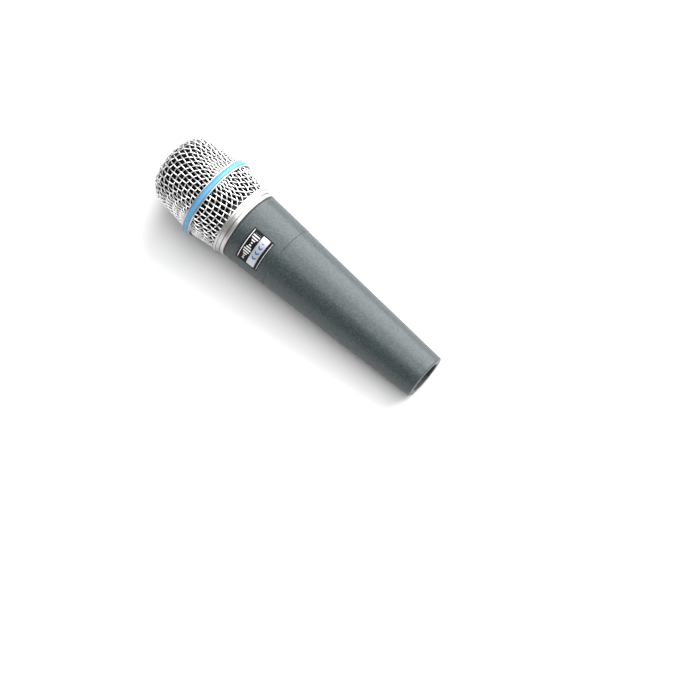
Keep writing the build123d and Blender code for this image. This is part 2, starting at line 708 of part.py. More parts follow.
with BuildPart() as diaphragm:
    crown_centre = DIAPHRAGM_STATION + CROWN_RISE - CROWN_RADIUS
    rim_station = DIAPHRAGM_STATION + 0.5
    with BuildSketch(profile()) as diaphragm_section:
        with BuildLine():
            under = CenterArc((0, crown_centre), CROWN_RADIUS, 90 - CROWN_ANGLE, CROWN_ANGLE)
            over = CenterArc((0, crown_centre + DIAPHRAGM_SKIN), CROWN_RADIUS, 90 - CROWN_ANGLE, CROWN_ANGLE)
            Line(under @ 1, over @ 1)
            Polyline(
                under @ 0,
                (DIAPHRAGM_RADIUS, rim_station),
                (DIAPHRAGM_RADIUS, rim_station + DIAPHRAGM_SKIN),
                over @ 0,
            )
        make_face()
    revolve(diaphragm_section.sketch, axis=MIC_AXIS)
save(diaphragm, "diaphragm")

with BuildPart() as voice_coil:
    tube(COIL_RADIUS - 0.15, COIL_RADIUS + 0.3, YOKE_FRONT - 3.6, DIAPHRAGM_STATION - 0.01)
save(voice_coil, "voice_coil")

with BuildPart() as diaphragm_surround:
    surround_outer = CAPSULE_RADIUS - SHELL_WALL - SLIVER
    surround_back = DIAPHRAGM_STATION + 0.4
    tube(DIAPHRAGM_RADIUS + SLIVER, surround_outer, surround_back, surround_back + 0.3)
save(diaphragm_surround, "diaphragm_surround")

print("tilt", round(degrees(TILT), 3), "tail centre", tuple(round(v, 3) for v in TAIL))
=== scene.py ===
"""Visual model of a dynamic vocal microphone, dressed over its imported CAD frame.

The microphone lies on a table. Its own axis runs through the centre of every turned piece,
and pieces are placed by their station, the distance from the handle's front shoulder along
that axis towards the nose, and by their azimuth, the angle from the top towards -Y.
Stations and radii are in millimetres until a mesh is placed, and then in metres.
"""

import json
import logging
from dataclasses import dataclass, field
from enum import Enum
from math import atan2, cos, hypot, pi, radians, sin
from typing import Callable, Sequence

import bmesh
import bpy
from mathutils import Matrix, Vector
from mathutils.kdtree import KDTree

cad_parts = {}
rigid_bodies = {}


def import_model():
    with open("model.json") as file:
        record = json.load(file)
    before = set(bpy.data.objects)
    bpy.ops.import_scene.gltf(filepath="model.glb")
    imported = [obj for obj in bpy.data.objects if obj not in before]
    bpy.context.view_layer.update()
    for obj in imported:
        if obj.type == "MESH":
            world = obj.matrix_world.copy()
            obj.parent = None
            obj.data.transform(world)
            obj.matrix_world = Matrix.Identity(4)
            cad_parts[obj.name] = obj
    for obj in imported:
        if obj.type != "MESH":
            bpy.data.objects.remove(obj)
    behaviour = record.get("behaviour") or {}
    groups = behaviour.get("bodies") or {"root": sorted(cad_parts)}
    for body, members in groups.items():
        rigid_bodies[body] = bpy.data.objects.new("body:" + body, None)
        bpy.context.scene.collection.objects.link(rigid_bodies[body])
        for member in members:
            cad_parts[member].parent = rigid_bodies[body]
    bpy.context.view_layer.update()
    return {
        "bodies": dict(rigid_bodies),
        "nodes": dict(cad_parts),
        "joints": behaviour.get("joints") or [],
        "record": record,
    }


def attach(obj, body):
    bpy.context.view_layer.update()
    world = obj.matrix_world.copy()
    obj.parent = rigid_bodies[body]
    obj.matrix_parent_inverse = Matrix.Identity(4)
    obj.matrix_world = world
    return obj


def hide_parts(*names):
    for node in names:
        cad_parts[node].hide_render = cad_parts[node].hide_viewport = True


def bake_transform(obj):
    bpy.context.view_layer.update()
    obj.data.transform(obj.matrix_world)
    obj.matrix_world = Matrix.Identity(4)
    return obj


LOG = logging.getLogger("microphone")
MM = 0.001  # metres in a millimetre
HEIGHT = "height_over_liner"  # the wires' attribute that their finish reads

Colour = tuple[float, float, float]
Outline = Sequence[tuple[float, float]]  # (radius, station) points in millimetres


# ---- shader building


class Value:
    """A socket in a node tree; on a number, ordinary arithmetic adds Math nodes."""

    def __init__(self, nodes: "Nodes", socket: bpy.types.NodeSocket) -> None:
        """Wrap an output socket of the tree that a builder makes."""
        self.nodes = nodes
        self.socket = socket

    def _math(self, operation: str, first: "Number", second: "Number" = 0.0) -> "Value":
        """The result of a new Math node on two values."""
        settings = {"operation": operation}
        return self.nodes.add("ShaderNodeMath", settings, {0: first, 1: second})

    def __add__(self, other: "Number") -> "Value":
        """Sum of two values."""
        return self._math("ADD", self, other)

    def __radd__(self, other: "Number") -> "Value":
        """Sum with a plain number on the left."""
        return self._math("ADD", other, self)

    def __sub__(self, other: "Number") -> "Value":
        """Difference of two values."""
        return self._math("SUBTRACT", self, other)

    def __rsub__(self, other: "Number") -> "Value":
        """Difference from a plain number on the left."""
        return self._math("SUBTRACT", other, self)

    def __mul__(self, other: "Number") -> "Value":
        """Product of two values."""
        return self._math("MULTIPLY", self, other)

    def __rmul__(self, other: "Number") -> "Value":
        """Product with a plain number on the left."""
        return self._math("MULTIPLY", other, self)

    def __truediv__(self, other: "Number") -> "Value":
        """Quotient of two values."""
        return self._math("DIVIDE", self, other)

    def __gt__(self, other: "Number") -> "Value":
        """1 where this value is the greater, and 0 elsewhere."""
        return self._math("GREATER_THAN", self, other)

    def __lt__(self, other: "Number") -> "Value":
        """1 where this value is the smaller, and 0 elsewhere."""
        return self._math("LESS_THAN", self, other)

    def __abs__(self) -> "Value":
        """Distance of this value from zero."""
        return self._math("ABSOLUTE", self)

    def sine(self) -> "Value":
        """Sine of this value in radians."""
        return self._math("SINE", self)

    def azimuth_from(self, across: "Value") -> "Value":
        """Angle in radians of the point (this value, across)."""
        return self._math("ARCTAN2", across, self)

    def length_with(self, across: "Value") -> "Value":
        """Distance of the point (this value, across) from zero."""
        return self._math("SQRT", self * self + across * across)

    def within(self, low: float, high: float) -> "Value":
        """1 where this value lies between two numbers, and 0 elsewhere."""
        return (self > low) * (self < high)

    def eased(self, low: float, high: float) -> "Value":
        """A smooth step from 0 at the low number to 1 at the high one."""
        settings = {"interpolation_type": "SMOOTHSTEP"}
        values = {"Value": self, "From Min": low, "From Max": high}
        return self.nodes.add("ShaderNodeMapRange", settings, values)


Number = Value | float | int


class Nodes:
    """One material and the nodes added to it."""

    def __init__(self, name: str) -> None:
        """Start an empty material.

        Args:
            name: The material's name.
        """
        self.material = bpy.data.materials.new(name)
        self.material.use_nodes = True
        self.tree = self.material.node_tree
        self.shader = next(n for n in self.tree.nodes if n.type == "BSDF_PRINCIPLED")

    def add(
        self,
        kind: str,
        settings: dict[str, object] | None = None,
        values: dict[str | int, object] | None = None,
        output: str | int = 0,
    ) -> Value:
        """Add one node.

        Args:
            kind: The node's type.
            settings: Its properties.
            values: What its input sockets get, by name or number.
            output: Which output socket to hand back.

        Returns:
            The chosen output socket, wrapped.
        """
        node = self.tree.nodes.new(kind)
        for key, setting in (settings or {}).items():
            setattr(node, key, setting)
        for key, value in (values or {}).items():
            self.feed(node.inputs[key], value)
        return Value(self, node.outputs[output])

    def feed(self, socket: bpy.types.NodeSocket, value: object) -> None:
        """Link a wrapped socket into an input, or set the input's own value."""
        if isinstance(value, Value):
            self.tree.links.new(value.socket, socket)
        else:
            socket.default_value = value

    def surface(self, **values: object) -> bpy.types.Material:
        """Feed the surface shader.

        Args:
            values: Shader inputs, with underscores for the spaces in their names.

        Returns:
            The finished material.
        """
        for key, value in values.items():
            self.feed(self.shader.inputs[key.replace("_", " ")], value)
        return self.material

    def mix(self, factor: Number, first: object, second: object) -> Value:
        """Blend two colours by a factor.

        Args:
            factor: 0 for the first colour and 1 for the second.
            first: The first colour, or a socket that carries one.
            second: The second colour, or a socket that carries one.

        Returns:
            The blended colour.
        """
        node = self.tree.nodes.new("ShaderNodeMix")
        node.data_type = "RGBA"
        for name, value in (("Factor_Float", factor), ("A_Color", first), ("B_Color", second)):
            socket = next(s for s in node.inputs if s.identifier == name)
            self.feed(socket, (*value, 1.0) if isinstance(value, tuple) else value)
        result = next(s for s in node.outputs if s.identifier == "Result_Color")
        return Value(self, result)

    def place(self) -> Value:
        """The point on the piece, in metres in the part's own frame."""
        return self.add("ShaderNodeTexCoord", output="Object")

    def noise(self, vector: Value, scale: float, detail: float = 2.0) -> Value:
        """Cloudy noise between 0 and 1, with a scale in cells per unit of the vector."""
        values = {"Vector": vector, "Scale": scale, "Detail": detail}
        return self.add("ShaderNodeTexNoise", {"noise_dimensions": "3D"}, values)

    def cells(
        self, vector: Value, scale: float, feature: str = "F1", output: str = "Distance"
    ) -> Value:
        """The distance to the nearest of scattered points, or its own colour."""
        values = {"Vector": vector, "Scale": scale}
        return self.add("ShaderNodeTexVoronoi", {"feature": feature}, values, output)

    def bump(self, height: Value, depth: float, strength: float = 1.0) -> Value:
        """A normal tilted by a height from 0 to 1, which are a depth in metres apart."""
        values = {"Strength": strength, "Distance": depth, "Height": height}
        return self.add("ShaderNodeBump", None, values)


# ---- the microphone's axis


@dataclass(frozen=True)
class MicAxis:
    """The microphone's own axis, read from the joint that the grille unscrews on."""

    origin: Vector
    forward: Vector

    @classmethod
    def from_frame(cls, frame: dict) -> "MicAxis":
        """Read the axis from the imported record.


        Returns:
            The axis, with its zero at the handle's front shoulder.
        """
        joints = frame["record"]["behaviour"]["joints"]
        turn = next(j for j in joints if j["name"] == "grille_turn")
        return cls(Vector(turn["pos_m"]), Vector(turn["axis"]).normalized())

    @property
    def side(self) -> Vector:
        """The direction across the axis towards -Y."""
        return Vector((0.0, -1.0, 0.0))

    @property
    def up(self) -> Vector:
        """The direction across the axis that points most nearly up."""
        return self.forward.cross(self.side).normalized()

    def outward(self, azimuth: float) -> Vector:
        """The direction away from the axis at an azimuth in radians."""
        return self.up * cos(azimuth) + self.side * sin(azimuth)

    def at(self, station: float, radius: float = 0.0, azimuth: float = 0.0) -> Vector:
        """The point in metres at a station and a radius in millimetres, at an azimuth."""
        along = self.forward * (station * MM)
        return self.origin + along + self.outward(azimuth) * (radius * MM)

    def placement(self) -> Matrix:
        """From (side, up, station) in millimetres to the part's frame in metres."""
        turn = Matrix((self.side, self.up, self.forward)).transposed().to_4x4()
        return Matrix.Translation(self.origin) @ turn @ Matrix.Scale(MM, 4)


# ---- finishes


@dataclass(frozen=True)
class AxisFinish:
    """Shared parts of the finishes that follow the microphone's axis."""

    axis: MicAxis

    def turned_place(self, nodes: Nodes) -> tuple[Value, Value, Value]:
        """The point on a piece, seen along the microphone's axis.

        Args:
            nodes: The material being built.

        Returns:
            Millimetres towards -Y, up and forward.
        """
        basis = Matrix((self.axis.side, self.axis.up, self.axis.forward))
        kind = "ShaderNodeVectorMath"
        values = {0: nodes.place(), 1: tuple(self.axis.origin)}
        moved = nodes.add(kind, {"operation": "SUBTRACT"}, values)
        side, up, station = (
            nodes.add(kind, {"operation": "DOT_PRODUCT"}, {0: moved, 1: tuple(row / MM)}, "Value")
            for row in basis
        )
        return side, up, station

    def combine(self, nodes: Nodes, x: Number, y: Number, z: Number) -> Value:
        """A vector from three numbers."""
        return nodes.add("ShaderNodeCombineXYZ", None, {0: x, 1: y, 2: z})


@dataclass(frozen=True)
class HandleEnamel(AxisFinish):
    """Grey-blue enamel with fine bright flakes under a thin clear coat."""

    shade: Colour = (0.012, 0.019, 0.021)
    light: Colour = (0.029, 0.043, 0.046)
    flake: Colour = (0.12, 0.19, 0.20)
    flakes_per_metre: float = 3000.0

    def build(self) -> bpy.types.Material:
        """Make the enamel."""
        nodes = Nodes("handle_enamel")
        place = nodes.place()
        cloud = nodes.noise(place, 1000.0, 3.0)
        speck = nodes.cells(place, self.flakes_per_metre)
        tone = nodes.cells(place, self.flakes_per_metre, output="Color")
        lit = nodes.add("ShaderNodeSeparateColor", None, {0: tone})
        flakes = (1 - speck.eased(0.22, 0.46)) * lit.eased(0.52, 0.98)
        base = nodes.mix(cloud.eased(0.30, 0.70), self.shade, self.light)
        grain = nodes.noise(place, 900.0, 2.0)
        return nodes.surface(
            Base_Color=nodes.mix(flakes * 0.85, base, self.flake),
            Roughness=0.46 + cloud * 0.12,
            Metallic=0.10 + flakes * 0.4,
            Coat_Weight=0.25,
            Coat_Roughness=0.22,
            Normal=nodes.bump(grain + speck * 0.3, 0.00003, 0.35),
        )


@dataclass(frozen=True)
class TurnedMetal(AxisFinish):
    """Plated metal with the fine rings that a lathe leaves.

    It can be painted black inside a radius and darker in a groove, both painted shade.
    """

    name: str
    tint: Colour
    roughness: float
    # painted shade: radius in millimetres inside which the metal is painted black
    painted_shade_radius: float = 0.0
    # stations of the groove that gets painted shade
    groove: tuple[float, float] = (0.0, 0.0)
    groove_shade: float = 0.30
    rings_per_mm: float = 9.0
    # the black of the painted shade
    black: Colour = (0.012, 0.012, 0.013)

    def build(self) -> bpy.types.Material:
        """Make the metal."""
        nodes = Nodes(self.name)
        side, up, station = self.turned_place(nodes)
        radius = side.length_with(up)
        fine = self.rings_per_mm
        rings = self.combine(nodes, radius * fine, station * fine, up * 0.03)
        brushing = nodes.noise(rings, 1.0, 3.0)
        cloud = nodes.noise(nodes.place(), 160.0, 3.0)
        dark = tuple(c * 0.86 for c in self.tint)
        colour = nodes.mix(brushing.eased(0.32, 0.62), dark, self.tint)
        # painted shade: 1 where the metal is left lit, lower inside the radius and in the groove
        bright: Number = 1.0
        if self.painted_shade_radius > 0.0:
            bright = radius.eased(self.painted_shade_radius - 0.2, self.painted_shade_radius)
        # painted shade in the groove, darkest at its middle
        if self.groove[1] > self.groove[0]:
            middle, half = sum(self.groove) / 2, (self.groove[1] - self.groove[0]) / 2
            wall = abs(station - middle).eased(0.0, half)
            bright = bright * (1.0 - self.groove_shade + wall * self.groove_shade)
        return nodes.surface(
            Base_Color=nodes.mix(bright, self.black, colour),
            Roughness=self.roughness + brushing * 0.10 + cloud * 0.06,
            Metallic=1.0,
            Normal=nodes.bump(brushing, 0.00002, 0.22),
        )


@dataclass(frozen=True)
class WireSteel(AxisFinish):
    """Bright plated wire, with painted shade where it dips under another towards the liner.

    The painted shade fades in between two heights over the liner, in millimetres.
    """

    tint: Colour = (0.90, 0.90, 0.90)
    # painted shade: the wire's colour low down near the liner
    painted_shade: Colour = (0.05, 0.05, 0.052)
    roughness: float = 0.24
    low: float = 0.95
    high: float = 1.95

    def build(self) -> bpy.types.Material:
        """Make the wire's plating."""
        nodes = Nodes("wire_steel")
        place = nodes.place()
        cloud = nodes.noise(place, 420.0, 3.0)
        pits = nodes.noise(place, 2600.0, 2.0)
        dull = tuple(c * 0.84 for c in self.tint)
        height = nodes.add("ShaderNodeAttribute", {"attribute_name": HEIGHT}, output="Fac")
        plated = nodes.mix(cloud.eased(0.28, 0.62), dull, self.tint)
        return nodes.surface(
            # painted shade: the wire is darker where it lies low over the liner
            Base_Color=nodes.mix(height.eased(self.low, self.high), self.painted_shade, plated),
            Roughness=self.roughness + cloud * 0.10,
            Metallic=1.0,
            Normal=nodes.bump(pits, 0.00002, 0.18),
        )


@dataclass(frozen=True)
class BandEnamel(AxisFinish):
    """Glossy pale blue enamel, with shade painted darker towards its edges."""

    middle: Colour = (0.09, 0.29, 0.50)
    # painted shade: the colour at the band's edges
    edge: Colour = (0.045, 0.16, 0.31)
    band_station: float = 21.2
    half_width: float = 1.45

    def build(self) -> bpy.types.Material:
        """Make the band's enamel."""
        nodes = Nodes("band_enamel")
        place = nodes.place()
        _, _, station = self.turned_place(nodes)
        across = abs(station - self.band_station) / self.half_width
        cloud = nodes.noise(place, 260.0, 2.0)
        ripple = nodes.noise(place, 900.0, 2.0)
        return nodes.surface(
            # painted shade: darker towards the band's edges
            Base_Color=nodes.mix(across.eased(0.55, 1.0), self.middle, self.edge),
            Roughness=0.22 + cloud * 0.10,
            Specular_IOR_Level=0.3,
            Coat_Weight=0.2,
            Coat_Roughness=0.08,
            Normal=nodes.bump(ripple, 0.00002, 0.25),
        )


class Grain(Enum):
    """Fine surface patterns of the plain finishes."""

    FINE = "fine"
    COARSE = "coarse"
    FIBRE = "fibre"
    STACKED = "stacked"
    WOUND = "wound"
    CLOTH = "cloth"


@dataclass(frozen=True)
class PlainFinish(AxisFinish):
    """A finish of one material with its own grain, for the inner and small pieces."""

    name: str = "plain"
    tint: Colour = (0.5, 0.5, 0.5)
    second: Colour = (0.4, 0.4, 0.4)
    roughness: float = 0.5
    metallic: float = 0.0
    grain: Grain = Grain.FINE
    scale: float = 900.0
    depth: float = 0.00003

    def pattern(self, nodes: Nodes) -> Value:
        """The grain's height between 0 and 1.

        Args:
            nodes: The material being built.

        Returns:
            The height.
        """
        place = nodes.place()
        side, up, station = self.turned_place(nodes)
        if self.grain is Grain.FIBRE:
            stretched = self.combine(nodes, side * 1.3, up * 1.3, station * 3.0)
            return nodes.noise(stretched, 1.6, 5.0)
        if self.grain is Grain.STACKED:
            return (up * (2 * pi / 0.35)).sine() * 0.5 + 0.5
        if self.grain is Grain.WOUND:
            return (station * (2 * pi / 0.16)).sine() * 0.5 + 0.5
        if self.grain is Grain.CLOTH:
            warp = (side * (2 * pi / 0.3)).sine()
            return warp * (up * (2 * pi / 0.3)).sine() * 0.5 + 0.5
        detail = 5.0 if self.grain is Grain.COARSE else 2.0
        return nodes.noise(place, self.scale, detail)

    def build(self) -> bpy.types.Material:
        """Make the finish."""
        nodes = Nodes(self.name)
        height = self.pattern(nodes)
        cloud = nodes.noise(nodes.place(), 220.0, 3.0)
        blend = height.eased(0.25, 0.75) * 0.6 + cloud.eased(0.3, 0.7) * 0.4
        return nodes.surface(
            Base_Color=nodes.mix(blend, self.second, self.tint),
            Roughness=self.roughness + height * 0.12,
            Metallic=self.metallic,
            Normal=nodes.bump(height, self.depth, 0.5),
        )


@dataclass(frozen=True)
class FoamFinish(AxisFinish):
    """Black open-cell foam."""

    tint: Colour = (0.003, 0.003, 0.003)
    strut: Colour = (0.010, 0.010, 0.010)
    cells_per_metre: float = 1500.0

    def build(self) -> bpy.types.Material:
        """Make the foam."""
        nodes = Nodes("foam")
        place = nodes.place()
        gap = nodes.cells(place, self.cells_per_metre, "DISTANCE_TO_EDGE")
        strut = 1 - gap.eased(0.02, 0.16)
        return nodes.surface(
            Base_Color=nodes.mix(strut, self.tint, self.strut),
            Roughness=0.85 + strut * 0.1,
            Specular_IOR_Level=0.08,
            Normal=nodes.bump(strut, 0.0003, 0.9),
        )


@dataclass(frozen=True)
class BadgePrint(AxisFinish):
    """The nameplate's print: a black field with pale bars beside a silver field.

    The print is laid out in millimetres on the plate: along it from its edge next to the
    collar, which is at the front station, and round the handle from its middle azimuth.
    """

    front: float = -6.3
    middle: float = 41.5
    surface_radius: float = 17.0
    half_round: float = 8.8
    line: tuple[float, float] = (0.50, 0.85)
    bar_row: float = 3.35
    bar_pitch: float = 1.30
    silver_field: tuple[float, float] = (5.8, 10.0)
    chevron_row: float = 8.0
    chevron_pitch: float = 3.0
    rule: tuple[float, float] = (11.35, 11.65)
    black: Colour = (0.006, 0.006, 0.007)
    white: Colour = (0.80, 0.80, 0.80)
    silver: Colour = (0.55, 0.57, 0.60)
    blue: Colour = (0.03, 0.13, 0.42)

    def build(self) -> bpy.types.Material:
        """Make the print."""
        nodes = Nodes("badge_print")
        side, up, station = self.turned_place(nodes)
        along = self.front - station
        azimuth = up.azimuth_from(side)
        around = (azimuth - radians(self.middle)) * self.surface_radius
        line = along.within(*self.line) * (abs(around) < self.half_round - 0.5)
        bars = self.bars(along, around)
        silver_field = along.within(*self.silver_field) * (abs(around) < self.half_round - 0.4)
        chevrons = self.chevrons(along, around)
        rule = along.within(*self.rule) * (abs(around) < self.half_round - 0.5)
        colour = nodes.mix(silver_field, self.black, self.silver)
        colour = nodes.mix(chevrons * silver_field, colour, self.blue)
        colour = nodes.mix(bars, colour, self.white)
        colour = nodes.mix(line, colour, self.white)
        colour = nodes.mix(rule, colour, self.silver)
        brushed = self.combine(nodes, along * 0.6, around * 14.0, 0.0)
        streak = nodes.noise(brushed, 1.0, 2.0)
        shaded = nodes.mix(streak * 0.18, colour, self.black)
        return nodes.surface(
            Base_Color=shaded,
            Roughness=0.34 + streak * 0.08,
            Metallic=silver_field * (1 - chevrons) * 0.6,
            Specular_IOR_Level=0.1,
            Normal=nodes.bump(streak + bars * 0.6, 0.00002, 0.3),
        )

    def bars(self, along: Value, around: Value) -> Value:
        """A row of plain bars that swell and shrink, like a sound level.

        Args:
            along: Millimetres along the plate.
            around: Millimetres round the handle.

        Returns:
            1 on a bar and 0 elsewhere.
        """
        swell = (around * (2 * pi / (self.bar_pitch * 6))).sine() * 0.75 + 1.15
        tooth = (around * (2 * pi / self.bar_pitch)).sine() > 0.05
        inside = abs(around) < self.half_round - 1.6
        return tooth * inside * (abs(along - self.bar_row) < swell)

    def chevrons(self, along: Value, around: Value) -> Value:
        """Three blue chevrons on the silver field.

        Args:
            along: Millimetres along the plate.
            around: Millimetres round the handle.

        Returns:
            1 on a chevron and 0 elsewhere.
        """
        off_row = abs(along - self.chevron_row)
        slanted = around + off_row * 0.9
        stroke = (slanted * (2 * pi / self.chevron_pitch)).sine() > 0.45
        return stroke * (off_row < 1.1) * (abs(around) < 5.4)


# ---- woven wire


@dataclass(frozen=True)
class NetPoint:
    """A crossing on a basket: its distance along the basket's wall, and its azimuth."""

    reach: float
    azimuth: float


@dataclass
class BasketWall:
    """The middle surface of a woven basket, as radius and station along its wall."""

    outline: list[tuple[float, float]]
    lengths: list[float] = field(default_factory=list)

    def __post_init__(self) -> None:
        """Measure the wall from its first point."""
        total = 0.0
        self.lengths = [0.0]
        for (r0, t0), (r1, t1) in zip(self.outline, self.outline[1:]):
            total += hypot(r1 - r0, t1 - t0)
            self.lengths.append(total)

    @property
    def reach(self) -> float:
        """The whole length of the wall."""
        return self.lengths[-1]

    def section(self, reach: float) -> tuple[float, float, float, float]:
        """Where the wall is, and which way it faces, at a distance along it.

        Args:
            reach: Millimetres along the wall; past its end it runs on straight.

        Returns:
            Radius, station, and the outward direction's radius and station.
        """
        last = len(self.outline) - 2
        number = next((n for n in range(last) if self.lengths[n + 1] > reach), last)
        (r0, t0), (r1, t1) = self.outline[number], self.outline[number + 1]
        span = self.lengths[number + 1] - self.lengths[number]
        share = (reach - self.lengths[number]) / span
        along = ((r1 - r0) / span, (t1 - t0) / span)
        facing = 1 if self.outline[-1][1] > self.outline[0][1] else -1
        radius, station = r0 + (r1 - r0) * share, t0 + (t1 - t0) * share
        return radius, station, along[1] * facing, -along[0] * facing

    def point(self, spot: NetPoint, lift: float = 0.0) -> Vector:
        """A point on the wall.

        Args:
            spot: Where it is on the wall.
            lift: Millimetres outwards from the wall.

        Returns:
            The point in (side, up, station) millimetres.
        """
        radius, station, out_radius, out_station = self.section(spot.reach)
        across = radius + out_radius * lift
        level = station + out_station * lift
        return Vector((across * sin(spot.azimuth), across * cos(spot.azimuth), level))


@dataclass
class WovenCloth:
    """Plain-woven wire cloth formed over a basket's wall.

    Its wires are smooth curves, which pass a crossing at a share of their point's height.
    """

    wall: BasketWall
    wire_radius: float
    aligned: float
    crossing: Callable[[int, int], NetPoint]
    span: int
    start: float = 0.0
    curve_share: float = 0.667

    def wires(self) -> list[list[Vector]]:
        """Every wire of the cloth, as the points its curve follows."""
        runs: list[list[Vector]] = []
        for family in (0, 1):
            for number in range(-self.span, self.span + 1):
                runs.extend(self._wire(family, number))
        return runs

    def _spot(self, family: int, number: int, step: int) -> NetPoint:
        """The crossing of a wire with the step's wire of the other family."""
        place = (step, number) if family == 0 else (number, step)
        spot = self.crossing(*place)
        return NetPoint(spot.reach, spot.azimuth + self.aligned)

    def _wire(self, family: int, number: int) -> list[list[Vector]]:
        """One wire, cut where it leaves the basket.

        Args:
            family: 0 for the warp and 1 for the weft.
            number: The wire's number from the middle.

        Returns:
            The wire's runs of points, with one between each two crossings.
        """
        runs: list[list[Vector]] = []
        run: list[Vector] = []
        crest = self.wire_radius / self.curve_share
        previous: NetPoint | None = None
        for step in range(-self.span, self.span + 1):
            spot = self._spot(family, number, step)
            inside = self._inside(spot)
            sign = 1 if (number + step + family) % 2 == 0 else -1
            if previous is not None and inside != self._inside(previous):
                run.append(self._edge_point(previous, spot))
                if not inside:
                    runs.append(run)
                    run = []
            elif previous is not None and inside:
                run.append((self.wall.point(previous) + self.wall.point(spot)) / 2)
            if inside:
                run.append(self.wall.point(spot, crest * sign))
            previous = spot
        runs.append(run)
        return [points for points in runs if len(points) > 3]

    def _inside(self, spot: NetPoint) -> bool:
        """True for a crossing on the basket."""
        return self.start <= spot.reach <= self.wall.reach

    def _edge_point(self, first: NetPoint, second: NetPoint) -> Vector:
        """Where a wire between two crossings meets the basket's edge."""
        over = self.wall.reach if max(first.reach, second.reach) > self.wall.reach else self.start
        share = (over - first.reach) / (second.reach - first.reach)
        start, end = self.wall.point(first), self.wall.point(second)
        return start + (end - start) * share


@dataclass
class FormedSheet:
    """Crossings of square wire cloth pushed over a dome, keeping each mesh's four sides."""

    wall: BasketWall
    pitch: float
    span: int
    stretch: float
    grid: dict[tuple[int, int], NetPoint] = field(default_factory=dict)

    def __post_init__(self) -> None:
        """Lay the first quarter of the cloth, crossing by crossing, from the nose."""
        limit = self.wall.reach + 2.5 * self.pitch
        self.grid[0, 0] = NetPoint(0.0, 0.0)
        for step in range(1, self.span + 1):
            self.grid[step, 0] = NetPoint(step * self.pitch, 0.0)
            self.grid[0, step] = NetPoint(step * self.pitch, pi / 2)
        for row in range(1, self.span + 1):
            for column in range(1, self.span + 1):
                first = self.grid[row - 1, column]
                second = self.grid[row, column - 1]
                if min(first.reach, second.reach) > limit:
                    self.grid[row, column] = self._flat(row, column)
                else:
                    self.grid[row, column] = self._corner(first, second)

    def _flat(self, row: int, column: int) -> NetPoint:
        """Where a crossing lies when the cloth is laid out flat."""
        return NetPoint(hypot(row, column) * self.pitch, atan2(column, row))

    def _corner(self, first: NetPoint, second: NetPoint) -> NetPoint:
        """The crossing one pitch from two others, found by Newton's method.

        Args:
            first: One neighbour nearer the nose.
            second: The other neighbour nearer the nose.

        Returns:
            The crossing further from the nose.
        """
        anchors = (self.wall.point(first), self.wall.point(second))
        reach = (first.reach + second.reach) / 2 + 0.5 * self.pitch
        azimuth = (first.azimuth + second.azimuth) / 2
        nudge = 1e-4
        for _ in range(30):
            here = self.wall.point(NetPoint(reach, azimuth))
            further = (self.wall.point(NetPoint(reach + nudge, azimuth)) - here) / nudge
            round_it = (self.wall.point(NetPoint(reach, azimuth + nudge)) - here) / nudge
            miss = [(here - anchor).length - self.pitch for anchor in anchors]
            if max(abs(m) for m in miss) < 1e-6:
                break
            rows = [(here - anchor).normalized() for anchor in anchors]
            slopes = [(row.dot(further), row.dot(round_it)) for row in rows]
            pivot = slopes[0][0] * slopes[1][1] - slopes[0][1] * slopes[1][0]
            if abs(pivot) < 1e-9:
                break
            d_reach = (-miss[0] * slopes[1][1] + miss[1] * slopes[0][1]) / pivot
            d_azimuth = (-miss[1] * slopes[0][0] + miss[0] * slopes[1][0]) / pivot
            reach += max(-1.0, min(1.0, d_reach))
            azimuth += max(-0.1, min(0.1, d_azimuth))
        return NetPoint(reach, azimuth)

    def crossing(self, column: int, row: int) -> NetPoint:
        """A crossing anywhere on the cloth.

        Args:
            column: Its number along the warp, from the nose.
            row: Its number along the weft, from the nose.

        Returns:
            Where it lies, part way between the formed cloth and the flat one.
        """
        formed = self.grid[abs(column), abs(row)]
        flat = self._flat(abs(column), abs(row))
        reach = formed.reach * (1 - self.stretch) + flat.reach * self.stretch
        azimuth = formed.azimuth * (1 - self.stretch) + flat.azimuth * self.stretch
        if column < 0:
            azimuth = pi - azimuth
        if row < 0:
            azimuth = -azimuth
        return NetPoint(reach, azimuth)


def linked(name: str, data: bpy.types.ID) -> bpy.types.Object:
    """A new object in the scene that holds a mesh, curve, camera or light."""
    piece = bpy.data.objects.new(name, data)
    bpy.context.scene.collection.objects.link(piece)
    return piece


def note_height(mesh: bpy.types.Mesh, outline: Outline) -> None:
    """Write each point's height over a turned liner, in millimetres, as an attribute.

    Args:
        mesh: The mesh, in (side, up, station) millimetres.
        outline: The liner's outside.
    """
    parts = 12  # points measured to on each length of the outline
    places = []
    for (r0, t0), (r1, t1) in zip(outline, outline[1:]):
        shares = [part / parts for part in range(parts)]
        places.extend((r0 + (r1 - r0) * share, t0 + (t1 - t0) * share, 0.0) for share in shares)
    places.append((*outline[-1], 0.0))
    tree = KDTree(len(places))
    for number, place in enumerate(places):
        tree.insert(place, number)
    tree.balance()
    heights = []
    for vertex in mesh.vertices:
        across = hypot(vertex.co.x, vertex.co.y)
        heights.append(tree.find((across, vertex.co.z, 0.0))[2])
    mesh.attributes.new(HEIGHT, "FLOAT", "POINT").data.foreach_set("value", heights)


